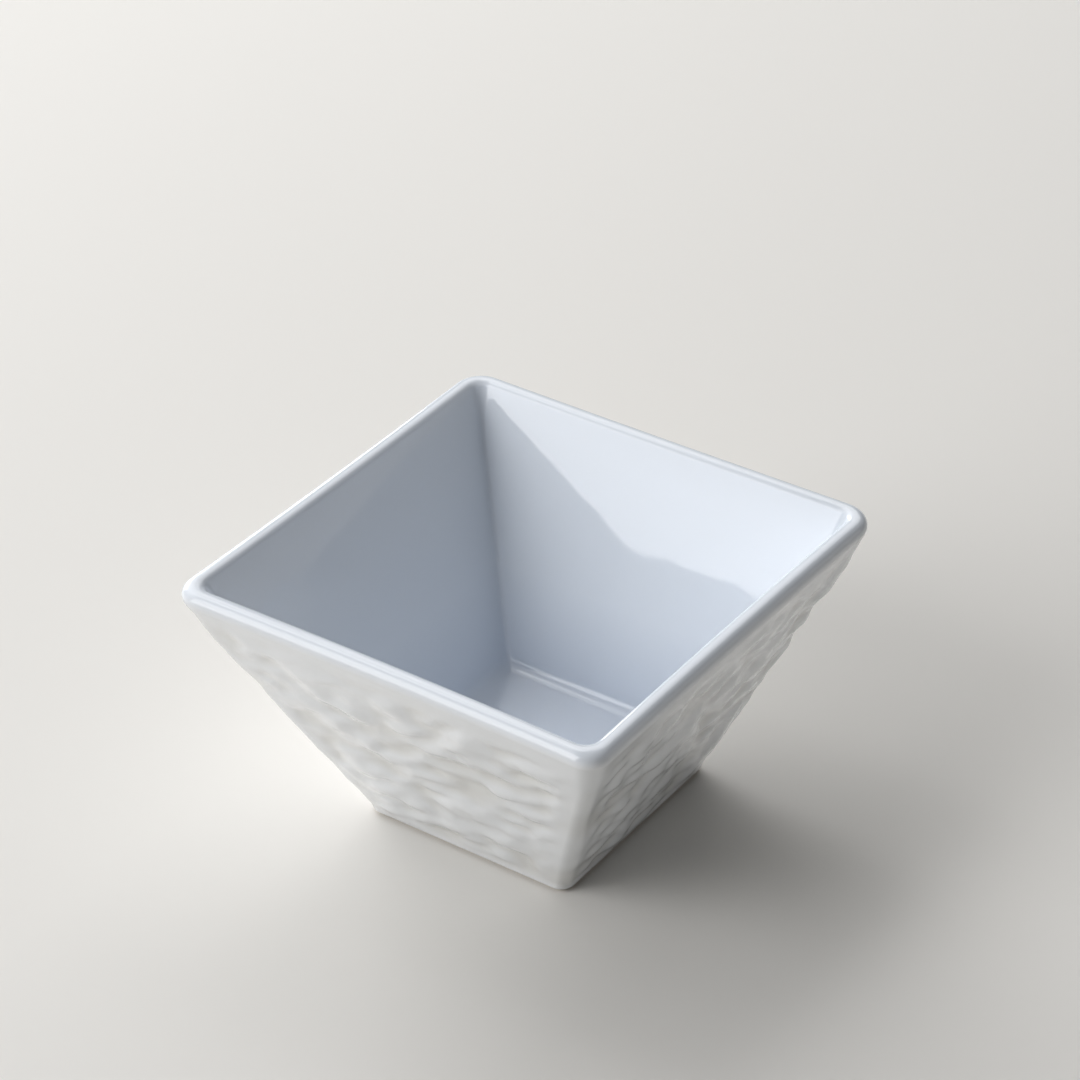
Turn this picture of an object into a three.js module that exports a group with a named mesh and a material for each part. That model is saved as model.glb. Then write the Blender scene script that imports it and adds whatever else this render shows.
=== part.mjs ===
// A small square bowl of glazed porcelain: a truncated pyramid that stands on its narrow end.
// Millimetres, +Z up, with the origin at the middle of the face that it stands on.
import * as THREE from "three";

// Overall sizes
const rimWidth = 89.4; // across the outside of the rim, face to face
const bowlHeight = 52.6; // from the table to the top of the rim
const footWidth = 44.5; // where two opposite outer faces would meet the table

// Wall, floor and foot
const baseWall = 6.8; // wall at the height of the inside floor, measured level
const floorThickness = 4.8; // between the inside floor and the hollow of the foot
const footWellDepth = 3.6; // hollow of the foot, above the table
const footRingWidth = 4.5; // from the outer face to the hollow, at the table

// Roundings seen in a section through the middle of a side
const lipOuterRadius = 1.9;
const lipLand = 0.3; // flat strip between the two roundings of the rim
const lipInnerRadius = 1.7;
const floorFillet = 3.4; // between the inside walls and the floor
const footEdgeRadius = 0.6; // both edges of the standing face
const footWellFillet = 0.5; // between the hollow's sides and its ceiling

// Upright corners seen from above
const rimCorner = 5; // outside, at the top
const footCorner = 2.5; // outside, at the table
const mouthCorner = 2.6; // inside, at the top
const floorCorner = 0.4; // edge of the flat part of the inside floor
const footWellCorner = 1.5; // edge of the flat ceiling of the hollow

// Glaze
const glazeThickness = 0.3;
const bareStrip = 0.4; // left without glaze above the rounded edges of the standing face

// Facets
const cornerSteps = 3; // pairs of facets round each upright corner
const roundingSteps = 6; // facets across each rounding of the section

// A unit vector in the section plane: level component, then height.
function direction(angle) {
  return new THREE.Vector2(Math.cos(angle), Math.sin(angle));
}

// A station is a ring of the bowl: where its surface crosses the section plane, which way it faces
// there, and the corner radius of the ring seen from above.
function station(point, facing, corner) {
  return { point, facing, corner };
}

// Stations round an arc, from one facing angle to the other. Bulge is 1 on an outside edge and -1 in a
// hollow, where the centre of the arc lies in front of the surface.
function arcStations(centre, radius, bulge, fromAngle, toAngle, cornerAt) {
  const stations = [];
  for (let step = 0; step <= roundingSteps; step += 1) {
    const angle = THREE.MathUtils.lerp(fromAngle, toAngle, step / roundingSteps);
    const facing = direction(angle);
    const point = centre.clone().addScaledVector(facing, bulge * radius);
    stations.push(station(point, facing, cornerAt(point)));
  }
  return stations;
}

// The same ring one glaze thickness below the surface, where the porcelain begins.
function underGlaze({ point, facing, corner }) {
  const below = point.clone().addScaledVector(facing, -glazeThickness);
  return station(below, facing, corner + below.x - point.x);
}

// Angle of the straight line from a point that touches a circle, and which side of it the circle is on.
function tangentAngle(from, centre, radius, side) {
  const towards = centre.clone().sub(from);
  return towards.angle() + side * Math.asin(radius / towards.length());
}

const up = Math.PI / 2;
const down = -Math.PI / 2;

// Outer face: a straight line from the table that runs into the outer rounding of the rim.
const footHalf = footWidth / 2;
const lipOuterCentre = new THREE.Vector2(rimWidth / 2 - lipOuterRadius, bowlHeight - lipOuterRadius);
const footPoint = new THREE.Vector2(footHalf, 0);
const outerLean = tangentAngle(footPoint, lipOuterCentre, lipOuterRadius, -1);
const outerFacing = outerLean - up;

function outerHalfAt(height) {
  return footHalf + height / Math.tan(outerLean);
}

function outerCornerAt(height) {
  return THREE.MathUtils.lerp(footCorner, rimCorner, height / bowlHeight);
}

// Inner face: a straight line from the edge of the floor that runs into the inner rounding of the rim.
const floorHeight = footWellDepth + floorThickness;
const floorEdge = new THREE.Vector2(outerHalfAt(floorHeight) - baseWall, floorHeight);
const lipInnerCentre = new THREE.Vector2(lipOuterCentre.x - lipLand, bowlHeight - lipInnerRadius);
const innerLean = tangentAngle(floorEdge, lipInnerCentre, lipInnerRadius, 1);
const innerFacing = innerLean + up;

// Foot: the standing face, its two rounded edges and the lines where the glaze stops.
const bareFacing = direction(outerFacing);
const bareInset = (glazeThickness + footEdgeRadius) / bareFacing.x;
const footOuterCentre = new THREE.Vector2(outerHalfAt(footEdgeRadius) - bareInset, footEdgeRadius);
const glazeLine = footEdgeRadius + footEdgeRadius * bareFacing.y + bareStrip;
const wellHalf = footHalf - footRingWidth;
const footInnerCentre = new THREE.Vector2(wellHalf + footEdgeRadius, footEdgeRadius);
const wellGlazeLine = footEdgeRadius + bareStrip;

// The glazed surface from the middle of the floor, up the inside, over the rim and down the outside.
function glazedStations() {
  const filletCentre = new THREE.Vector2(
    floorEdge.x + floorFillet / Math.tan(innerLean) - floorFillet / Math.sin(innerLean),
    floorHeight + floorFillet,
  );
  const floorCornerAt = (point) => floorCorner + point.x - filletCentre.x;
  const mouthHalf = lipInnerCentre.x + lipInnerRadius * direction(innerFacing).x;
  const lipCornerAt = (point) =>
    THREE.MathUtils.mapLinear(point.x, mouthHalf, rimWidth / 2, mouthCorner, rimCorner);
  const glazeEdge = new THREE.Vector2(outerHalfAt(glazeLine), glazeLine);
  return [
    ...arcStations(filletCentre, floorFillet, -1, up, innerFacing, floorCornerAt),
    ...arcStations(lipInnerCentre, lipInnerRadius, 1, innerFacing, up, lipCornerAt),
    ...arcStations(lipOuterCentre, lipOuterRadius, 1, up, outerFacing, lipCornerAt),
    station(glazeEdge, bareFacing, outerCornerAt(glazeLine)),
  ];
}

// The bare porcelain of the foot, from the outer glaze line to the one in the hollow.
function footStations() {
  const outerInset = (point) => outerCornerAt(point.y) - (outerHalfAt(point.y) - point.x);
  const innerInset = (point) => footWellCorner + footWellFillet + point.x - wellHalf;
  return [
    ...arcStations(footOuterCentre, footEdgeRadius, 1, outerFacing, down, outerInset),
    ...arcStations(footInnerCentre, footEdgeRadius, 1, down, -Math.PI, innerInset),
  ];
}

// The glazed surface of the hollow, from the glaze line to the middle of the ceiling.
function wellStations() {
  const glazedHalf = wellHalf - glazeThickness;
  const fillet = Math.min(footWellFillet, (footWellDepth - wellGlazeLine) / 2);
  const filletCentre = new THREE.Vector2(glazedHalf - fillet, footWellDepth - fillet);
  const glazeEdge = new THREE.Vector2(glazedHalf, wellGlazeLine);
  const cornerAt = (point) => footWellCorner + point.x - filletCentre.x;
  return [
    station(glazeEdge, direction(Math.PI), cornerAt(glazeEdge)),
    ...arcStations(filletCentre, fillet, -1, -Math.PI, down, cornerAt),
  ];
}

// A station as a closed ring of points: a square with rounded corners at one height.
function ringPoints({ point, corner }) {
  const reach = point.x - corner;
  const outline = new THREE.Path();
  outline.absarc(reach, reach, corner, 0, Math.PI / 2);
  outline.absarc(-reach, reach, corner, Math.PI / 2, Math.PI);
  outline.absarc(-reach, -reach, corner, Math.PI, 1.5 * Math.PI);
  outline.absarc(reach, -reach, corner, 1.5 * Math.PI, 2 * Math.PI);
  return outline.getPoints(cornerSteps).map(({ x, y }) => new THREE.Vector3(x, y, point.y));
}

// A closed surface through the rings of the stations, with a flat lid on the first and the last.
// It faces outwards where the rings run from the inside floor over the rim and down.
function closedSurface(stations) {
  const rings = stations.map(ringPoints);
  const count = rings[0].length;
  const first = stations[0].point.y;
  const last = stations[stations.length - 1].point.y;
  const points = [...rings.flat(), new THREE.Vector3(0, 0, first), new THREE.Vector3(0, 0, last)];
  const startMiddle = points.length - 2;
  const endMiddle = points.length - 1;
  const endRing = startMiddle - count;
  const triangles = [];
  for (let j = 0; j < count; j += 1) {
    const next = (j + 1) % count;
    triangles.push(startMiddle, j, next);
    for (let ring = 0; ring < endRing; ring += count) {
      triangles.push(ring + j, ring + count + j, ring + next);
      triangles.push(ring + next, ring + count + j, ring + count + next);
    }
    triangles.push(endMiddle, endRing + next, endRing + j);
  }
  const geometry = new THREE.BufferGeometry().setFromPoints(points);
  geometry.setIndex(triangles);
  geometry.computeVertexNormals();
  return geometry;
}

function piece(name, stations, material) {
  const mesh = new THREE.Mesh(closedSurface(stations), material);
  mesh.name = name;
  return mesh;
}

const biscuit = new THREE.MeshStandardMaterial({ color: 0xe8e3da, roughness: 0.85, metalness: 0 });
const glaze = new THREE.MeshStandardMaterial({ color: 0xe4e8ee, roughness: 0.12, metalness: 0 });
const wellGlaze = new THREE.MeshStandardMaterial({ color: 0xdfe4ea, roughness: 0.2, metalness: 0 });

const glazed = glazedStations();
const glazedBack = glazed.map(underGlaze);
const well = wellStations();
const wellBack = well.map(underGlaze);

const bowl = new THREE.Group();
bowl.add(piece("porcelain_body", [...glazedBack, ...footStations(), ...wellBack], biscuit));
bowl.add(piece("glaze_coat", [...glazed, ...glazedBack.toReversed()], glaze));
bowl.add(piece("foot_well_glaze", [...wellBack.toReversed(), ...well], wellGlaze));

export default bowl;
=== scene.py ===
"""Dresses a small square bowl of glazed porcelain: hewn outer faces, smooth inside and bare foot ring."""

import math
from collections import namedtuple

import bpy
import numpy as np
from mathutils import Matrix, Vector


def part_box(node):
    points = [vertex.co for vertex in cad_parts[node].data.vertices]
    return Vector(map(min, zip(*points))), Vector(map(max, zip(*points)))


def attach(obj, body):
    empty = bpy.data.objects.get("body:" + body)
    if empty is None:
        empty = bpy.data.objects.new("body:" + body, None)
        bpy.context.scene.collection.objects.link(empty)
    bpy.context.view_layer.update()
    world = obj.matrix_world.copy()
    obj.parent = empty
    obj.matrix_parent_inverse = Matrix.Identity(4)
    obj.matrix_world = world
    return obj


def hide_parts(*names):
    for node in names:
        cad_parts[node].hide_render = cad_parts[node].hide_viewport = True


bl_info = {
    "name": "Small square bowl",
    "version": (1, 0, 0),
    "blender": (4, 5, 0),
    "location": "3D View > Sidebar > Bowl",
    "description": "Builds a small square porcelain bowl with hewn outer faces, and a plain stage for it",
    "category": "Object",
}

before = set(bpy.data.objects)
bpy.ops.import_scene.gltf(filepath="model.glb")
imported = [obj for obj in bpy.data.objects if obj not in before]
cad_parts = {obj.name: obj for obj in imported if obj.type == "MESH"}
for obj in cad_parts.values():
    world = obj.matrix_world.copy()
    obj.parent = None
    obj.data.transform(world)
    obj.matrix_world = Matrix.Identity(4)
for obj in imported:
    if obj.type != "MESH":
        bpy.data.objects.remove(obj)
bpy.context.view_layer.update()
COAT_LOW, COAT_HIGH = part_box("glaze_coat")
WELL_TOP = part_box("foot_well_glaze")[1].z

MM = 0.001
BODY = "root"


# Properties
def linear(code):
    """An sRGB hex colour as the linear red, green and blue that shaders take."""
    channels = [int(code[i : i + 2], 16) / 255 for i in (1, 3, 5)]
    return [c / 12.92 if c <= 0.04045 else ((c + 0.055) / 1.055) ** 2.4 for c in channels]


def length(name, description, default):
    """A length in metres, shown in the scene's own unit."""
    return bpy.props.FloatProperty(
        name=name, description=description, default=default, precision=5, subtype="DISTANCE", unit="LENGTH"
    )


def four_lengths(name, description, millimetres):
    """Four lengths in metres, one for each corner or side, with defaults written in millimetres."""
    return bpy.props.FloatVectorProperty(
        name=name,
        description=description,
        default=[value * MM for value in millimetres],
        size=4,
        precision=5,
        unit="LENGTH",
    )


def colour(name, description, code):
    """A linear colour whose default is written as sRGB hex."""
    return bpy.props.FloatVectorProperty(
        name=name, description=description, default=linear(code), min=0, max=1, subtype="COLOR"
    )


class BowlSizes(bpy.types.PropertyGroup):
    """Sizes of the bowl's section and of its corners seen from above."""

    rim_width: length("Rim width", "Across the outside of the rim", COAT_HIGH.x - COAT_LOW.x)
    bowl_height: length("Height", "From the ground to the top of the rim", COAT_HIGH.z)
    foot_width: length("Foot width", "Where opposite outer faces would meet the ground", 44.5 * MM)
    base_wall: length("Base wall", "Wall at the height of the inside floor, measured level", 6.8 * MM)
    floor_height: length("Floor height", "From the ground to the inside floor", 8.4 * MM)
    lip_outer: length("Outer lip rounding", "Radius of the rim's outer edge", 1.9 * MM)
    lip_land: length("Lip land", "Flat strip between the two roundings of the rim", 0.3 * MM)
    lip_inner: length("Inner lip rounding", "Radius of the rim's inner edge", 1.7 * MM)
    floor_fillet: length("Floor fillet", "Radius between the inside walls and the floor", 3.4 * MM)
    rim_corners: four_lengths(
        "Rim corners", "Outer corner radii at the rim: right, back, left and front", (6, 5.5, 5, 4.2)
    )
    foot_corners: four_lengths(
        "Foot corners",
        "Outer corner radii at the ground: right, back, left and front",
        (2.5, 2.5, 2.5, 2.6),
    )
    foot_draw: length("Foot draw", "How far the left face is drawn in from the foot up", 1.7 * MM)
    mouth_corner: length("Mouth corner", "Inner corner radius at the rim", 2.6 * MM)
    inner_corner: length("Inner corner", "Corner radius between the inside walls", 0.7 * MM)
    floor_corner: length("Floor corner", "Corner radius of the flat part of the floor", 0.3 * MM)
    ring_width: length("Foot ring width", "From the outer face to the hollow of the foot", 4.5 * MM)
    ring_edge: length("Foot ring edge", "Rounding of both edges of the standing face", 0.6 * MM)
    well_fillet: length("Well fillet", "Rounding between the hollow's sides and its ceiling", 0.5 * MM)
    well_corner: length("Well corner", "Corner radius of the hollow's flat ceiling", 1.5 * MM)
    glaze: length("Glaze thickness", "Thickness of the glaze over the porcelain", 0.3 * MM)
    bare_strip: length("Bare strip", "Left without glaze above the foot's rounded edges", 0.4 * MM)
    side_bows: four_lengths(
        "Side bows",
        "How far the middles of the sides are drawn in at the rim, from the back right one on",
        (0.2, 0.3, 0.5, 0.3),
    )


class HewnFaces(bpy.types.PropertyGroup):
    """The shallow hewn marks on the outer faces and the slow swelling of all faces."""

    patch_depth: length("Patch depth", "Depth range of the soft hewn patches", 1.9 * MM)
    patch_length: length("Patch length", "Length of a patch along the wall", 6.2 * MM)
    patch_height: length("Patch height", "Height of a patch up the wall", 3.5 * MM)
    ridge_depth: length("Ridge depth", "Height of the thin ridges on some patches", 0.015 * MM)
    ridge_length: length("Ridge length", "Length of a ridge along the wall", 7 * MM)
    ridge_height: length("Ridge height", "Spacing of ridges up the wall", 3.4 * MM)
    slant: bpy.props.FloatProperty(
        name="Slant", description="Rise of the rows of marks towards the front corner", default=0.25
    )
    swell_depth: length("Swell depth", "Depth range of the slow swelling of the faces", 1.6 * MM)
    swell_length: length("Swell length", "Length of a swelling", 14 * MM)
    seed: bpy.props.FloatProperty(name="Seed", description="Picks another set of marks", default=3.0)


class BowlColours(bpy.types.PropertyGroup):
    """Colours of the bowl and of the stage."""

    glaze: colour("Glaze", "Clear glaze over white porcelain", "#e4eaf2")
    thin_glaze: colour("Thin glaze", "Glaze stretched thin over the hewn faces", "#e4e6e8")
    pooled: colour("Pooled glaze", "Glaze where it gathers in the hewn hollows", "#dbdbd9")
    gathered: colour("Gathered glaze", "Glaze that has run down to the inside floor", "#d2dae6")
    biscuit: colour("Biscuit", "Bare fired porcelain", "#e3dbcd")
    # The real brown tinge of bare porcelain beside the glaze, darkened into a painted contact shadow along
    # the foot
    flashing_and_contact_shadow: colour("Flashing", "Warm tinge of bare porcelain beside the glaze", "#6e5238")
    floor: colour("Floor", "Pale floor of the stage", "#e9e7e3")


# Sections
QUARTER_TURN = math.pi / 2
UP = QUARTER_TURN
DOWN = -QUARTER_TURN

# A level ring of a surface: half its width, its height, the angle that it faces, its four corner radii,
# how far its left side is drawn in, and its shares of the hewn marks, the swelling and the thin glaze
Ring = namedtuple("Ring", "half height facing corners drawn marks swell thin", defaults=(0, 0, 0, 0))

# Rings on each stretch of a surface, and steps along each side and round each corner of a ring. Under the
# glaze they are just close enough that no porcelain comes out through the hewn marks
Fineness = namedtuple("Fineness", "outer_wall inner_wall rounding")
SEEN = Fineness(outer_wall=154, inner_wall=24, rounding=14)
HIDDEN = Fineness(outer_wall=44, inner_wall=6, rounding=3)
SIDE_STEPS = 80
CORNER_STEPS = 8

# Shares of the hewn marks at the right, back, left and front corners, and on the sides that follow each
CORNER_MARKS = (0.6, 1.0, 0.25, 0.0)
SIDE_MARKS = (1.0, 1.0, 1.0, 0.7)

# Distances from the lip, the glaze line and the corners, where the marks begin and where they are whole
SMOOTH_RIM = 0.5 * MM
HEWN_RIM = 8 * MM
SMOOTH_FOOT = 0.3 * MM
HEWN_FOOT = 4 * MM
SMOOTH_CORNER = 0.5 * MM
HEWN_CORNER = 5 * MM

# Distances from the lip and the glaze line where the swelling is whole, and its share on the inside
SWOLLEN_RIM = 5 * MM
SWOLLEN_FOOT = 1.5 * MM
INNER_SWELL = 0.15

CORNER_DROP = 9 * MM  # below the lip, where the outer corners begin to widen to the rim's
DRAWN = 20 * MM  # above the ground, where the left face begins to come out to the rim
FLARE = 0.15  # of the inside wall, at its top, where the corners widen to the mouth's
THIN_LIP = 0.3  # of the lip's outer rounding, from the top, before the glaze begins to thin


def mix(a, b, share):
    """The value that lies that share of the way from a to b."""
    return a + (b - a) * share


def ease(low, high, value):
    """0 below low, 1 above high, and a smooth rise between."""
    share = np.clip((value - low) / (high - low), 0, 1)
    return share * share * (3 - 2 * share)


def tangent_lean(start, centre, radius, side):
    """Angle of the straight line from a point that touches a circle, which lies on that side of it."""
    dx = centre[0] - start[0]
    dz = centre[1] - start[1]
    return math.atan2(dz, dx) + side * math.asin(radius / math.hypot(dx, dz))


def arc(centre, radius, bulge, start, stop, steps):
    """Points round an arc with their facing angles; bulge is -1 in a hollow."""
    for step in range(steps + 1):
        facing = mix(start, stop, step / steps)
        yield (
            centre[0] + bulge * radius * math.cos(facing),
            centre[1] + bulge * radius * math.sin(facing),
            facing,
        )


class Section:
    """Where the bowl's surfaces run in a plane through the middles of two opposite sides."""

    def __init__(self, sizes):
        self.sizes = sizes
        self.foot_half = sizes.foot_width / 2
        self.rim_half = sizes.rim_width / 2
        self.lip_outer_centre = (self.rim_half - sizes.lip_outer, sizes.bowl_height - sizes.lip_outer)
        self.outer_lean = tangent_lean((self.foot_half, 0), self.lip_outer_centre, sizes.lip_outer, -1)
        self.outer_facing = self.outer_lean - QUARTER_TURN
        self.lip_low = self.lip_outer_centre[1] + sizes.lip_outer * math.sin(self.outer_facing)
        self.floor_half = self.outer_half(sizes.floor_height) - sizes.base_wall
        self.lip_inner_centre = (
            self.lip_outer_centre[0] - sizes.lip_land,
            sizes.bowl_height - sizes.lip_inner,
        )
        floor_edge = (self.floor_half, sizes.floor_height)
        self.inner_lean = tangent_lean(floor_edge, self.lip_inner_centre, sizes.lip_inner, 1)
        self.inner_facing = self.inner_lean + QUARTER_TURN
        self.mouth_half = self.lip_inner_centre[0] + sizes.lip_inner * math.cos(self.inner_facing)
        self.glaze_line = sizes.ring_edge * (1 + math.sin(self.outer_facing)) + sizes.bare_strip
        self.well_half = self.foot_half - sizes.ring_width
        self.well_line = sizes.ring_edge + sizes.bare_strip
        self.well_depth = WELL_TOP - sizes.glaze

    def outer_half(self, height):
        """Half the width of the outside at a height."""
        return self.foot_half + height / math.tan(self.outer_lean)

    def outer_corners(self, height, inset=0.0):
        """Corner radii of the outside at a height, or of a ring that far inside it."""
        share = ease(self.lip_low - CORNER_DROP, self.lip_low, height)
        pairs = zip(self.sizes.foot_corners, self.lip_corners(self.outer_half(self.lip_low)))
        return [mix(foot, rim, share) - inset for foot, rim in pairs]

    def drawn(self, height):
        """How far the left face is drawn in at a height."""
        return self.sizes.foot_draw * (1 - ease(DRAWN, self.sizes.bowl_height, height))

    def lip_corners(self, half):
        """Corner radii of the ring of the lip with that half width."""
        share = (half - self.mouth_half) / (self.rim_half - self.mouth_half)
        return [mix(self.sizes.mouth_corner, corner, share) for corner in self.sizes.rim_corners]

    def floor_rings(self, fineness):
        """Round the fillet of the floor, from its flat part to the inside wall."""
        sizes = self.sizes
        fillet = sizes.floor_fillet
        centre = (
            self.floor_half + fillet / math.tan(self.inner_lean) - fillet / math.sin(self.inner_lean),
            sizes.floor_height + fillet,
        )
        for half, height, facing in arc(centre, fillet, -1, UP, self.inner_facing, fineness.rounding):
            corner = mix(sizes.floor_corner, sizes.inner_corner, (half - centre[0]) / fillet)
            yield Ring(half, height, facing, [corner] * 4)

    def inner_wall_rings(self, bottom, fineness):
        """Up the inside wall from the last ring of the fillet to the rim, both left out."""
        sizes = self.sizes
        top_height = self.lip_inner_centre[1] + sizes.lip_inner * math.sin(self.inner_facing)
        for step in range(1, fineness.inner_wall):
            share = step / fineness.inner_wall
            half = mix(bottom.half, self.mouth_half, share)
            height = mix(bottom.height, top_height, share)
            corner = mix(bottom.corners[0], sizes.mouth_corner, ease(1 - FLARE, 1, share))
            swell = INNER_SWELL * math.sin(math.pi * share)
            yield Ring(half, height, self.inner_facing, [corner] * 4, swell=swell)

    def lip_rings(self, fineness):
        """Over the rim, from the inside wall to the outside one."""
        sizes = self.sizes
        steps = fineness.rounding
        inner = arc(self.lip_inner_centre, sizes.lip_inner, 1, self.inner_facing, UP, steps)
        outer = arc(self.lip_outer_centre, sizes.lip_outer, 1, UP, self.outer_facing, steps)
        for half, height, facing in (*inner, *outer):
            thin = ease(THIN_LIP, 1, (UP - facing) / (UP - self.outer_facing))
            yield Ring(half, height, facing, self.lip_corners(half), thin=thin)

    def outer_wall_rings(self, fineness):
        """Down the outside wall, from below the lip to the line where the glaze stops."""
        for step in range(1, fineness.outer_wall + 1):
            height = mix(self.lip_low, self.glaze_line, step / fineness.outer_wall)
            below_lip = self.lip_low - height
            above_line = height - self.glaze_line
            yield Ring(
                self.outer_half(height),
                height,
                self.outer_facing,
                self.outer_corners(height),
                self.drawn(height),
                marks=ease(SMOOTH_RIM, HEWN_RIM, below_lip) * ease(SMOOTH_FOOT, HEWN_FOOT, above_line),
                swell=ease(0, SWOLLEN_RIM, below_lip) * ease(0, SWOLLEN_FOOT, above_line),
                thin=1,
            )

    def glazed(self, fineness):
        """The glazed surface from the floor, up the inside, over the rim and down the outside."""
        floor = list(self.floor_rings(fineness))
        return [
            *floor,
            *self.inner_wall_rings(floor[-1], fineness),
            *self.lip_rings(fineness),
            *self.outer_wall_rings(fineness),
        ]

    def foot(self, fineness):
        """The bare porcelain of the foot, from the outer glaze line to the one in the hollow."""
        sizes = self.sizes
        edge = sizes.ring_edge
        inset = (sizes.glaze + edge) / math.cos(self.outer_facing)
        steps = fineness.rounding
        outer = arc((self.outer_half(edge) - inset, edge), edge, 1, self.outer_facing, DOWN, steps)
        inner = arc((self.well_half + edge, edge), edge, 1, DOWN, -math.pi, steps)
        for half, height, facing in outer:
            corners = self.outer_corners(height, self.outer_half(height) - half)
            yield Ring(half, height, facing, corners, self.drawn(height))
        for half, height, facing in inner:
            corner = sizes.well_corner + sizes.well_fillet + half - self.well_half
            yield Ring(half, height, facing, [corner] * 4, self.drawn(height))

    def well(self, fineness):
        """The glazed surface of the hollow, from its glaze line to the edge of its ceiling."""
        sizes = self.sizes
        fillet = sizes.well_fillet
        side_half = self.well_half - sizes.glaze
        side_corner = sizes.well_corner + fillet
        centre = (side_half - fillet, self.well_depth - fillet)
        yield Ring(side_half, self.well_line, math.pi, [side_corner] * 4, self.drawn(self.well_line))
        for half, height, facing in arc(centre, fillet, -1, -math.pi, DOWN, fineness.rounding):
            corner = sizes.well_corner + half - centre[0]
            yield Ring(half, height, facing, [corner] * 4, self.drawn(height))


def sunk(ring, depth):
    """The same ring that far below the surface."""
    half = ring.half - depth * math.cos(ring.facing)
    height = ring.height - depth * math.sin(ring.facing)
    corners = [corner + half - ring.half for corner in ring.corners]
    return ring._replace(half=half, height=height, corners=corners)


# Meshes
POINT_ATTRIBUTES = {
    "skin_place": "FLOAT_VECTOR",
    "way_in": "FLOAT_VECTOR",
    "marks_share": "FLOAT",
    "swell_share": "FLOAT",
    "thin_share": "FLOAT",
}


def new_object(name, data):
    """An object with that data at the origin of the scene."""
    made = bpy.data.objects.new(name, data)
    bpy.context.scene.collection.objects.link(made)
    return made


def outline(ring, sizes):
    """Points of a ring, the way the surface faces at each, and each one's share of the hewn marks."""
    turn = np.linspace(0, QUARTER_TURN, CORNER_STEPS + 1)
    round_ways = np.stack([np.cos(turn), np.sin(turn)], axis=1)
    share = np.linspace(0, 1, SIDE_STEPS + 1)[1:-1]
    side_ways = np.tile([0.0, 1.0], (len(share), 1))
    ways = np.concatenate([round_ways, side_ways])
    arch = 4 * share * (1 - share)  # 0 at both ends of a side and 1 at its middle
    flat, plan, hewn = [], [], []
    for quarter in range(4):
        following = (quarter + 1) % 4
        start = ring.half - ring.corners[quarter]
        stop = ring.corners[following] - ring.half
        along = mix(start, stop, share)
        bow = sizes.side_bows[quarter] * ring.height / sizes.bowl_height
        side = np.stack([along, ring.half - bow * arch], axis=1)
        points = np.concatenate([start + ring.corners[quarter] * round_ways, side])
        turned = np.round(Matrix.Rotation(-quarter * QUARTER_TURN, 2))
        flat.append(points @ turned)
        plan.append(ways @ turned)
        near_start = ease(SMOOTH_CORNER, HEWN_CORNER, start - along)
        near_stop = ease(SMOOTH_CORNER, HEWN_CORNER, along - stop)
        first_half = mix(CORNER_MARKS[quarter], SIDE_MARKS[quarter], near_start)
        last_half = mix(CORNER_MARKS[following], SIDE_MARKS[quarter], near_stop)
        hewn += [np.full(len(turn), CORNER_MARKS[quarter]), np.where(share < 0.5, first_half, last_half)]
    flat = np.concatenate(flat)
    plan = np.concatenate(plan)

    # The left face, at -X, is drawn in, and the left half of the ring closes up evenly with it
    flat[:, 0] -= ring.drawn / ring.half * np.minimum(flat[:, 0], 0)
    place = np.column_stack([flat, np.full(len(flat), ring.height)])
    facing = np.column_stack([plan * math.cos(ring.facing), np.full(len(flat), math.sin(ring.facing))])
    return place, facing, ring.marks * np.concatenate(hewn)


def loft(name, rings, skins, sizes):
    """A closed mesh through the rings, with a flat lid on the first and the last.

    Each point also keeps the point of the glazed surface over it, the way in from there, and how much of
    the hewn marks and of the swelling it takes, so that both faces of the glaze are hewn alike.
    """
    places = [outline(ring, sizes)[0] for ring in rings]
    over = [outline(skin, sizes) for skin in skins]
    count = len(places[0])
    first_lid = len(rings) * count
    last_lid = first_lid + 1
    last_ring = first_lid - count
    lids = np.array([[0, 0, rings[0].height], [0, 0, rings[-1].height]])
    points = np.concatenate([*places, lids])
    here = np.arange(count)
    after = (here + 1) % count
    faces = []
    for near in range(0, last_ring, count):
        far = near + count
        faces += np.stack([near + here, far + here, far + after, near + after], axis=1).tolist()
    faces += np.stack([np.full(count, first_lid), here, after], axis=1).tolist()
    faces += np.stack([np.full(count, last_lid), last_ring + after, last_ring + here], axis=1).tolist()
    mesh = bpy.data.meshes.new(name)
    mesh.from_pydata(points.tolist(), [], faces)

    # The middles of the two lids take nothing
    spare = np.zeros((2, 3))
    values = (
        [*(place for place, _, _ in over), spare],
        [*(-facing for _, facing, _ in over), spare],
        [*(marks for _, _, marks in over), spare[:, 0]],
        [*(np.full(count, skin.swell) for skin in skins), spare[:, 0]],
        [*(np.full(count, skin.thin) for skin in skins), spare[:, 0]],
    )
    for (label, kind), stretches in zip(POINT_ATTRIBUTES.items(), values):
        attribute = mesh.attributes.new(label, kind, "POINT")
        field = "vector" if kind == "FLOAT_VECTOR" else "value"
        attribute.data.foreach_set(field, np.concatenate(stretches).astype(np.float32).ravel())
    mesh.update()
    return new_object(name, mesh)


# Nodes
def add_node(tree, kind, settings=None, feeds=None):
    """Add a node, set its properties, and feed its inputs with values, nodes or nodes' outputs."""
    node = tree.nodes.new(kind)
    for name, value in (settings or {}).items():
        setattr(node, name, value)
    sockets = {socket.identifier: socket for socket in node.inputs}
    for identifier, source in (feeds or {}).items():
        if isinstance(source, bpy.types.Node):
            source = next(socket for socket in source.outputs if socket.enabled)
        if isinstance(source, bpy.types.NodeSocket):
            tree.links.new(source, sockets[identifier])
        else:
            sockets[identifier].default_value = source
    return node


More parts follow.
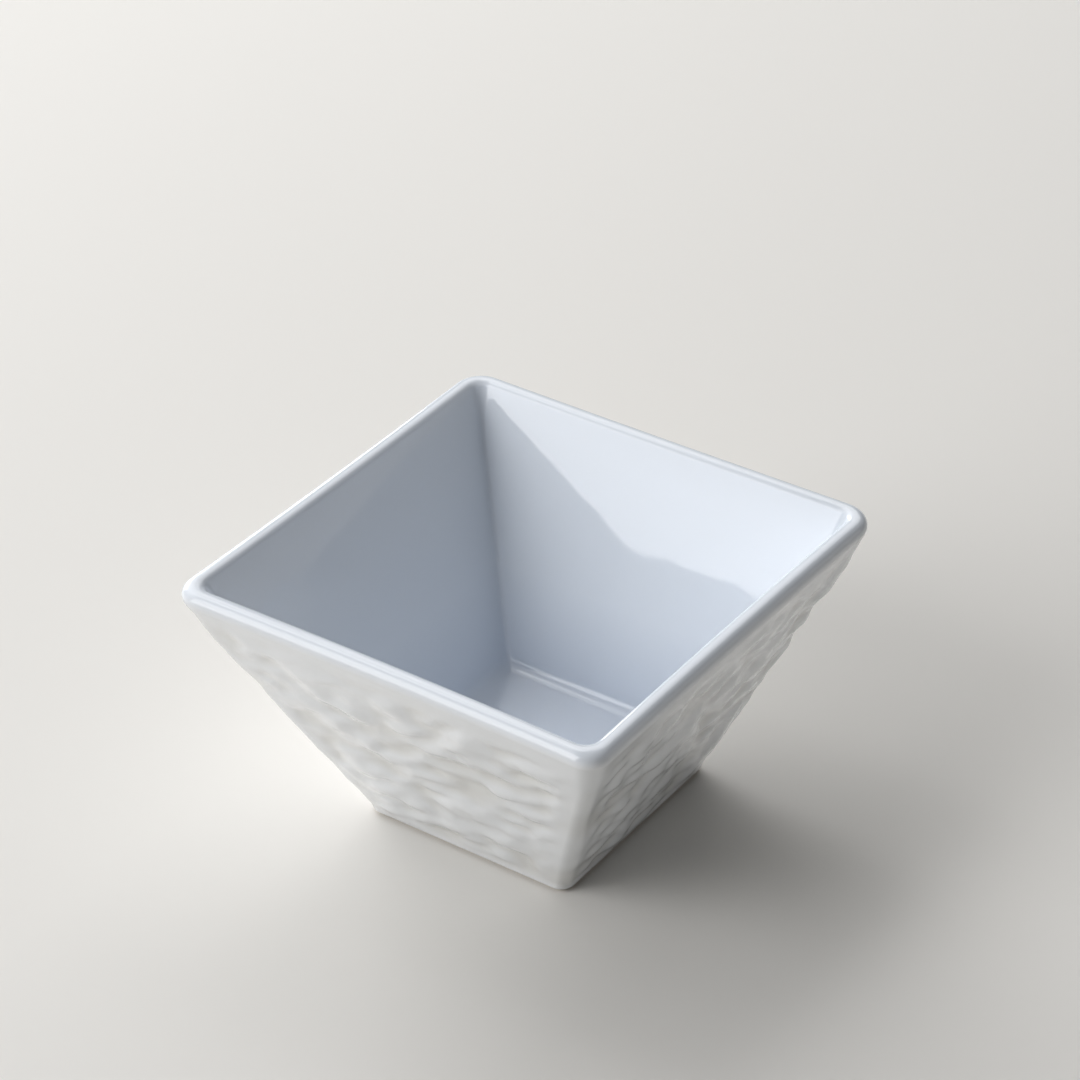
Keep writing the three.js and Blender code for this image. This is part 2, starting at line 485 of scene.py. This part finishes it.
HEWN_NAME = "Hewn faces"
HEWN_INPUTS = (
    "Patch depth",
    "Patch length",
    "Patch height",
    "Ridge depth",
    "Ridge length",
    "Ridge height",
    "Slant",
    "Swell depth",
    "Swell length",
    "Seed",
)
TO_FRONT = (1, -1, 0)  # level, from the back corner to the front one
MIDDLE = 0.5  # of a noise's values
PATCH_WANDER = (0.4, 0.4, 0.8)  # counted in patches
RIDGE_WANDER = (2.0, 2.0, 5.0)  # counted in ridges
RIDGE_REACH = 0.15  # from the middle of the ridges' noise, where a ridge has faded out
RIDGED_FROM = 0.53  # of the patches' noise, where ridges begin
RIDGED_PAST = 0.7  # of the same, where they are whole
SHARP = math.radians(50)  # edges sharper than this aren't shaded smooth


def mark_counts(tree, given, place):
    """Places counted in lengths of each kind of mark, so that a noise of scale 1 has marks of that size."""
    # Rows of marks climb towards the front corner
    across = add_node(
        tree,
        "ShaderNodeVectorMath",
        {"operation": "DOT_PRODUCT"},
        {"Vector": place, "Vector_001": TO_FRONT},
    )
    climb = add_node(
        tree,
        "ShaderNodeMath",
        {"operation": "MULTIPLY"},
        {"Value": across.outputs["Value"], "Value_001": given["Slant"]},
    )
    lift = add_node(tree, "ShaderNodeCombineXYZ", None, {"Z": climb})
    level = add_node(
        tree, "ShaderNodeVectorMath", {"operation": "SUBTRACT"}, {"Vector": place, "Vector_001": lift}
    )
    counts = {}
    for mark, tall in (("Swell", "Swell length"), ("Patch", "Patch height"), ("Ridge", "Ridge height")):
        long = given[mark + " length"]
        size = add_node(tree, "ShaderNodeCombineXYZ", None, {"X": long, "Y": long, "Z": given[tall]})
        count = add_node(
            tree, "ShaderNodeVectorMath", {"operation": "DIVIDE"}, {"Vector": level, "Vector_001": size}
        )
        counts[mark] = add_node(
            tree,
            "ShaderNodeVectorMath",
            {"operation": "ADD"},
            {"Vector": count, "Vector_001": given["Seed"]},
        )
    return counts


def marks_depth(tree, given, counts, swell):
    """Depth of the soft patches, less the height of the thin ridges on some of them."""
    # The rows of marks wander up and down with the swelling
    wander = add_node(
        tree,
        "ShaderNodeVectorMath",
        {"operation": "SUBTRACT"},
        {"Vector": swell.outputs["Color"], "Vector_001": (MIDDLE, MIDDLE, MIDDLE)},
    )
    noises = {}
    for mark, reach in (("Patch", PATCH_WANDER), ("Ridge", RIDGE_WANDER)):
        shift = add_node(
            tree, "ShaderNodeVectorMath", {"operation": "MULTIPLY"}, {"Vector": wander, "Vector_001": reach}
        )
        wandering = add_node(
            tree,
            "ShaderNodeVectorMath",
            {"operation": "ADD"},
            {"Vector": counts[mark], "Vector_001": shift},
        )
        noises[mark] = add_node(
            tree, "ShaderNodeTexNoise", None, {"Vector": wandering, "Scale": 1.0, "Detail": 0.0}
        )

    # A thin ridge stands where its noise crosses the middle value, and only on some patches
    middle = add_node(
        tree, "ShaderNodeMath", {"operation": "SUBTRACT"}, {"Value": noises["Ridge"], "Value_001": MIDDLE}
    )
    away = add_node(tree, "ShaderNodeMath", {"operation": "ABSOLUTE"}, {"Value": middle})
    crest = add_node(
        tree,
        "ShaderNodeMapRange",
        {"interpolation_type": "SMOOTHERSTEP"},
        {"Value": away, "From Min": 0.0, "From Max": RIDGE_REACH, "To Min": 1.0, "To Max": 0.0},
    )
    where = add_node(
        tree,
        "ShaderNodeMapRange",
        {"interpolation_type": "SMOOTHSTEP"},
        {"Value": noises["Patch"].outputs["Color"], "From Min": RIDGED_FROM, "From Max": RIDGED_PAST},
    )
    ridges = add_node(
        tree, "ShaderNodeMath", {"operation": "MULTIPLY"}, {"Value": crest, "Value_001": where}
    )
    ridge_out = add_node(
        tree,
        "ShaderNodeMath",
        {"operation": "MULTIPLY"},
        {"Value": ridges, "Value_001": given["Ridge depth"]},
    )
    low_patch = add_node(
        tree, "ShaderNodeMath", {"operation": "SUBTRACT"}, {"Value": MIDDLE, "Value_001": noises["Patch"]}
    )
    patch_in = add_node(
        tree,
        "ShaderNodeMath",
        {"operation": "MULTIPLY"},
        {"Value": low_patch, "Value_001": given["Patch depth"]},
    )
    return add_node(
        tree, "ShaderNodeMath", {"operation": "SUBTRACT"}, {"Value": patch_in, "Value_001": ridge_out}
    )


def hewn_tree():
    """Geometry Nodes that press soft patches, thin ridges and a slow swelling into the bowl's faces."""
    tree = bpy.data.node_groups.new(HEWN_NAME, "GeometryNodeTree")
    tree.interface.new_socket("Geometry", in_out="INPUT", socket_type="NodeSocketGeometry")
    for name in HEWN_INPUTS:
        tree.interface.new_socket(name, in_out="INPUT", socket_type="NodeSocketFloat")
    tree.interface.new_socket("Material", in_out="INPUT", socket_type="NodeSocketMaterial")
    tree.interface.new_socket("Geometry", in_out="OUTPUT", socket_type="NodeSocketGeometry")
    given = add_node(tree, "NodeGroupInput").outputs
    place, way_in, marks_share, swell_share = [
        add_node(
            tree, "GeometryNodeInputNamedAttribute", {"data_type": POINT_ATTRIBUTES[name]}, {"Name": name}
        )
        for name in ("skin_place", "way_in", "marks_share", "swell_share")
    ]
    counts = mark_counts(tree, given, place)
    swell = add_node(
        tree, "ShaderNodeTexNoise", None, {"Vector": counts["Swell"], "Scale": 1.0, "Detail": 1.0}
    )
    marks_in = marks_depth(tree, given, counts, swell)

    # Depth of marks and swelling together, inwards from the plain face
    low_swell = add_node(
        tree, "ShaderNodeMath", {"operation": "SUBTRACT"}, {"Value": MIDDLE, "Value_001": swell}
    )
    whole_swell = add_node(
        tree,
        "ShaderNodeMath",
        {"operation": "MULTIPLY"},
        {"Value": low_swell, "Value_001": given["Swell depth"]},
    )
    swell_in = add_node(
        tree, "ShaderNodeMath", {"operation": "MULTIPLY"}, {"Value": whole_swell, "Value_001": swell_share}
    )
    depth = add_node(
        tree,
        "ShaderNodeMath",
        {"operation": "MULTIPLY_ADD"},
        {"Value": marks_in, "Value_001": marks_share, "Value_002": swell_in},
    )
    move = add_node(
        tree, "ShaderNodeVectorMath", {"operation": "SCALE"}, {"Vector": way_in, "Scale": depth}
    )
    kept = add_node(
        tree,
        "GeometryNodeStoreNamedAttribute",
        {"data_type": "FLOAT", "domain": "POINT"},
        {"Geometry": given["Geometry"], "Name": "hewn_depth", "Value": depth},
    )
    moved = add_node(tree, "GeometryNodeSetPosition", None, {"Geometry": kept, "Offset": move})
    real = add_node(tree, "GeometryNodeRealizeInstances", None, {"Geometry": moved})
    clad = add_node(
        tree, "GeometryNodeSetMaterial", None, {"Geometry": real, "Material": given["Material"]}
    )
    out = add_node(tree, "NodeGroupOutput")
    tree.links.new(clad.outputs["Geometry"], out.inputs[0])
    return tree


def hew(piece, faces, material):
    """Press the hewn marks into a piece and leave it as a plain mesh with its material."""
    tree = bpy.data.node_groups.get(HEWN_NAME) or hewn_tree()
    modifier = piece.modifiers.new(HEWN_NAME, "NODES")
    modifier.node_group = tree
    values = {name: getattr(faces, name.lower().replace(" ", "_")) for name in HEWN_INPUTS}
    values["Material"] = material
    for socket in tree.interface.items_tree:
        if socket.in_out == "INPUT" and socket.name in values:
            modifier[socket.identifier] = values[socket.name]
    graph = bpy.context.evaluated_depsgraph_get()
    mesh = bpy.data.meshes.new_from_object(piece.evaluated_get(graph))
    mesh.name = piece.name
    piece.modifiers.remove(modifier)
    piece.data = mesh
    mesh.shade_smooth()
    mesh.set_sharp_from_angle(angle=SHARP)


# Materials
RUN_DOWN = 16 * MM  # above the inside floor, where the glaze begins to gather
POOL_DEPTH = 0.5 * MM  # of a hollow that is tinted all the way
RIPPLE_LENGTH = 8 * MM
RIPPLE_HEIGHT = 0.05 * MM
GLOSS_LOW = 0.03
GLOSS_HIGH = 0.07
GRIT_SIZE = 0.35 * MM  # real grains are too fine to show, so they are drawn this coarse
GRIT_HEIGHT = 0.05 * MM


def new_material(name):
    """A material with an empty tree, and that tree."""
    material = bpy.data.materials.new(name)
    material.use_nodes = True
    material.node_tree.nodes.clear()
    return material, material.node_tree


def glazed_porcelain(colours, section):
    """Glazed porcelain, dipped and fired: a hard clear gloss over cool white, with slow ripples.

    The glaze is stretched thin over the hewn faces, where it looks less blue, and greyer in their hollows.
    Inside it has run down the walls, and it is thickest and bluest on the floor.
    """
    material, tree = new_material("glazed porcelain")
    place = add_node(tree, "ShaderNodeTexCoord").outputs["Object"]
    thinness = add_node(tree, "ShaderNodeAttribute", {"attribute_name": "thin_share"}).outputs["Fac"]
    depth = add_node(tree, "ShaderNodeAttribute", {"attribute_name": "hewn_depth"}).outputs["Fac"]
    height = add_node(tree, "ShaderNodeSeparateXYZ", None, {"Vector": place}).outputs["Z"]
    floor = section.sizes.floor_height
    run_down = add_node(
        tree, "ShaderNodeMapRange", None, {"Value": height, "From Min": floor + RUN_DOWN, "From Max": floor}
    )
    inside = add_node(
        tree,
        "ShaderNodeMix",
        {"data_type": "RGBA"},
        {"Factor_Float": run_down, "A_Color": (*colours.glaze, 1), "B_Color": (*colours.gathered, 1)},
    )
    coat = add_node(
        tree,
        "ShaderNodeMix",
        {"data_type": "RGBA"},
        {"Factor_Float": thinness, "A_Color": inside, "B_Color": (*colours.thin_glaze, 1)},
    )
    pooling = add_node(
        tree, "ShaderNodeMapRange", None, {"Value": depth, "From Min": 0.0, "From Max": POOL_DEPTH}
    )
    pools = add_node(
        tree, "ShaderNodeMath", {"operation": "MULTIPLY"}, {"Value": pooling, "Value_001": thinness}
    )
    tint = add_node(
        tree,
        "ShaderNodeMix",
        {"data_type": "RGBA"},
        {"Factor_Float": pools, "A_Color": coat, "B_Color": (*colours.pooled, 1)},
    )
    ripple = add_node(
        tree, "ShaderNodeTexNoise", None, {"Vector": place, "Scale": 1 / RIPPLE_LENGTH, "Detail": 1.0}
    )
    bump = add_node(
        tree, "ShaderNodeBump", None, {"Strength": 0.5, "Distance": RIPPLE_HEIGHT, "Height": ripple}
    )
    gloss = add_node(
        tree, "ShaderNodeMapRange", None, {"Value": ripple, "To Min": GLOSS_LOW, "To Max": GLOSS_HIGH}
    )
    shader = add_node(
        tree,
        "ShaderNodeBsdfPrincipled",
        None,
        {"Base Color": tint, "Roughness": gloss, "IOR": 1.5, "Normal": bump},
    )
    add_node(tree, "ShaderNodeOutputMaterial", None, {"Surface": shader})
    return material


def porcelain_biscuit(colours, section):
    """Bare porcelain biscuit, fired and rubbed: matt, slightly gritty, browner and darker above the
    standing face, where the real tinge of bare porcelain is darkened into a painted contact shadow.
    """
    material, tree = new_material("porcelain biscuit")
    place = add_node(tree, "ShaderNodeTexCoord").outputs["Object"]
    height = add_node(tree, "ShaderNodeSeparateXYZ", None, {"Vector": place}).outputs["Z"]
    grit = add_node(
        tree, "ShaderNodeTexNoise", None, {"Vector": place, "Scale": 1 / GRIT_SIZE, "Detail": 3.0}
    )
    # Above the standing face the biscuit is speckled with the brown tinge of bare porcelain, made dark
    # enough to paint a contact shadow along the foot
    near_glaze = add_node(
        tree,
        "ShaderNodeMapRange",
        None,
        {"Value": height, "From Min": 0.0, "From Max": section.sizes.bare_strip},
    )
    brown_and_shade = add_node(
        tree, "ShaderNodeMath", {"operation": "MULTIPLY"}, {"Value": near_glaze, "Value_001": grit}
    )
    tint = add_node(
        tree,
        "ShaderNodeMix",
        {"data_type": "RGBA"},
        {"Factor_Float": brown_and_shade, "A_Color": (*colours.biscuit, 1), "B_Color": (*colours.flashing_and_contact_shadow, 1)},
    )
    bump = add_node(
        tree, "ShaderNodeBump", None, {"Strength": 0.4, "Distance": GRIT_HEIGHT, "Height": grit}
    )
    shader = add_node(
        tree, "ShaderNodeBsdfPrincipled", None, {"Base Color": tint, "Roughness": 0.85, "Normal": bump}
    )
    add_node(tree, "ShaderNodeOutputMaterial", None, {"Surface": shader})
    return material


def matt_paint(colours):
    """Matt floor paint on the stage: an even pale ground that takes soft shadows and gives no gloss."""
    material, tree = new_material("matt floor paint")
    shader = add_node(
        tree, "ShaderNodeBsdfPrincipled", None, {"Base Color": (*colours.floor, 1), "Roughness": 0.9}
    )
    add_node(tree, "ShaderNodeOutputMaterial", None, {"Surface": shader})
    return material


# Pieces
def settle(piece, node):
    """Tie a finished piece to the body and hide the imported part that it stands for."""
    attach(piece, BODY)
    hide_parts(node)


class BOWL_OT_glaze_coat(bpy.types.Operator):
    """Make the glaze over the inside, the rim and the hewn outside"""

    bl_idname = "bowl.glaze_coat"
    bl_label = "Glaze coat"

    def execute(self, context):
        scene = context.scene
        sizes = scene.bowl_sizes
        section = Section(sizes)
        top = section.glazed(SEEN)
        skin = section.glazed(HIDDEN)[::-1]
        back = [sunk(ring, sizes.glaze) for ring in skin]
        piece = loft("glaze_coat_visual", top + back, top + skin, sizes)
        hew(piece, scene.bowl_faces, glazed_porcelain(scene.bowl_colours, section))
        settle(piece, "glaze_coat")
        return {"FINISHED"}


class BOWL_OT_porcelain_body(bpy.types.Operator):
    """Make the porcelain under the glaze, with its bare foot ring"""

    bl_idname = "bowl.porcelain_body"
    bl_label = "Porcelain body"

    def execute(self, context):
        scene = context.scene
        sizes = scene.bowl_sizes
        section = Section(sizes)
        skin = section.glazed(HIDDEN)
        back = [sunk(ring, sizes.glaze) for ring in skin]
        foot = list(section.foot(SEEN))
        well = list(section.well(SEEN))
        well_back = [sunk(ring, sizes.glaze) for ring in well]
        piece = loft("porcelain_body_visual", back + foot + well_back, skin + foot + well, sizes)
        hew(piece, scene.bowl_faces, porcelain_biscuit(scene.bowl_colours, section))
        settle(piece, "porcelain_body")
        return {"FINISHED"}


class BOWL_OT_foot_well_glaze(bpy.types.Operator):
    """Make the glaze in the hollow of the foot"""

    bl_idname = "bowl.foot_well_glaze"
    bl_label = "Foot well glaze"

    def execute(self, context):
        scene = context.scene
        sizes = scene.bowl_sizes
        section = Section(sizes)
        well = list(section.well(SEEN))
        back = [sunk(ring, sizes.glaze) for ring in well[::-1]]
        piece = loft("foot_well_glaze_visual", back + well, well[::-1] + well, sizes)
        hew(piece, scene.bowl_faces, glazed_porcelain(scene.bowl_colours, section))
        settle(piece, "foot_well_glaze")
        return {"FINISHED"}


# Stage, with angles in degrees and the lamps' places and sizes in metres
Lamp = namedtuple("Lamp", "name azimuth elevation distance width height radiance")
LAMPS = (
    Lamp("front window", -30, 28, 1.5, 0.8, 1.3, 4.5),
    Lamp("left window", -75, 48, 1.5, 0.9, 0.95, 1.5),
    Lamp("back left window", -115, 48, 1.5, 0.9, 0.95, 2.5),
    Lamp("back window", -160, 43, 1.5, 0.95, 0.8, 2.1),
    Lamp("low window", -115, 15, 1.5, 0.9, 0.7, 4.5),
    Lamp("room", 110, 12, 1.5, 1.6, 0.5, 1.0),
)
FILL = 0.02  # strength of the surround
FLOOR_HALF = 4.0
CAMERA_AZIMUTH = 35.82
CAMERA_ELEVATION = 33.80
CAMERA_ROLL = -1.09
CAMERA_DISTANCE = 686.2 * MM
CAMERA_TARGET = Vector((-22.46, 34.33, 27.0)) * MM
CAMERA_LENS = 121.45  # in millimetres, as the sensor is
SENSOR = 36


def direction(azimuth, elevation):
    """Unit vector from the object towards a place round it; azimuth 0 is in front, at -Y."""
    turn = math.radians(azimuth)
    rise = math.radians(elevation)
    level = math.cos(rise)
    return Vector((math.sin(turn) * level, -math.cos(turn) * level, math.sin(rise)))


def looking(target, back, distance, roll=0.0):
    """World matrix of a camera or lamp that looks at the target from that direction."""
    side = Vector((0, 0, 1)).cross(back).normalized()
    basis = Matrix((side, back.cross(side), back)).transposed().to_4x4()
    return Matrix.Translation(target + back * distance) @ basis @ Matrix.Rotation(roll, 4, "Z")


def stage_floor(colours):
    """A wide plain floor in a pale matt paint."""
    mesh = bpy.data.meshes.new("stage_floor")
    h = FLOOR_HALF
    mesh.from_pydata([(-h, -h, 0), (h, -h, 0), (h, h, 0), (-h, h, 0)], [], [(0, 1, 2, 3)])
    mesh.materials.append(matt_paint(colours))
    floor = new_object("stage_floor", mesh)


def stage_lamp(lamp):
    """A soft rectangular lamp of the radiance given, which faces the camera's target."""
    data = bpy.data.lights.new(lamp.name, "AREA")
    data.shape = "RECTANGLE"
    data.size = lamp.width
    data.size_y = lamp.height
    data.energy = lamp.radiance * math.pi * lamp.width * lamp.height
    light = new_object(lamp.name, data)
    light.matrix_world = looking(CAMERA_TARGET, direction(lamp.azimuth, lamp.elevation), lamp.distance)


def stage_world():
    """An even pale surround that fills the shadows."""
    world = bpy.data.worlds.new("pale surround")
    bpy.context.scene.world = world
    world.use_nodes = True
    tree = world.node_tree
    tree.nodes.clear()
    light = add_node(tree, "ShaderNodeBackground", None, {"Color": (1, 1, 1, 1), "Strength": FILL})
    add_node(tree, "ShaderNodeOutputWorld", None, {"Surface": light})


def stage_camera():
    """The camera at the photograph's angle."""
    data = bpy.data.cameras.new("camera")
    data.lens = CAMERA_LENS
    data.sensor_width = SENSOR
    camera = new_object("camera", data)
    back = direction(CAMERA_AZIMUTH, CAMERA_ELEVATION)
    camera.matrix_world = looking(CAMERA_TARGET, back, CAMERA_DISTANCE, math.radians(CAMERA_ROLL))
    bpy.context.scene.camera = camera


class BOWL_OT_stage(bpy.types.Operator):
    """Set out the floor, the lamps, the surround and the camera"""

    bl_idname = "bowl.stage"
    bl_label = "Stage"

    def execute(self, context):
        stage_floor(context.scene.bowl_colours)
        for lamp in LAMPS:
            stage_lamp(lamp)
        stage_world()
        stage_camera()
        context.scene.view_settings.view_transform = "Standard"
        return {"FINISHED"}


class BOWL_PT_sidebar(bpy.types.Panel):
    """Lists the bowl's pieces and its stage, with their sizes and colours"""

    bl_idname = "BOWL_PT_sidebar"
    bl_label = "Square bowl"
    bl_space_type = "VIEW_3D"
    bl_region_type = "UI"
    bl_category = "Bowl"

    def draw(self, context):
        for operator in OPERATORS:
            self.layout.operator(operator.bl_idname)
        for name, group in GROUPS.items():
            box = self.layout.box()
            for label in group.__annotations__:
                box.prop(getattr(context.scene, name), label)


OPERATORS = (
    BOWL_OT_porcelain_body,
    BOWL_OT_glaze_coat,
    BOWL_OT_foot_well_glaze,
    BOWL_OT_stage,
)
GROUPS = {"bowl_sizes": BowlSizes, "bowl_faces": HewnFaces, "bowl_colours": BowlColours}


def register():
    """Add the classes, and hang the groups of properties on the scene."""
    for kind in (*GROUPS.values(), *OPERATORS, BOWL_PT_sidebar):
        bpy.utils.register_class(kind)
    for name, group in GROUPS.items():
        setattr(bpy.types.Scene, name, bpy.props.PointerProperty(type=group))


def unregister():
    """Take away what register added."""
    for name in GROUPS:
        delattr(bpy.types.Scene, name)
    for kind in (BOWL_PT_sidebar, *OPERATORS, *GROUPS.values()):
        bpy.utils.unregister_class(kind)


def main():
    """Make the pieces and the stage."""
    register()
    bpy.ops.bowl.porcelain_body()
    bpy.ops.bowl.glaze_coat()
    bpy.ops.bowl.foot_well_glaze()
    bpy.ops.bowl.stage()


if __name__ == "__main__":
    main()
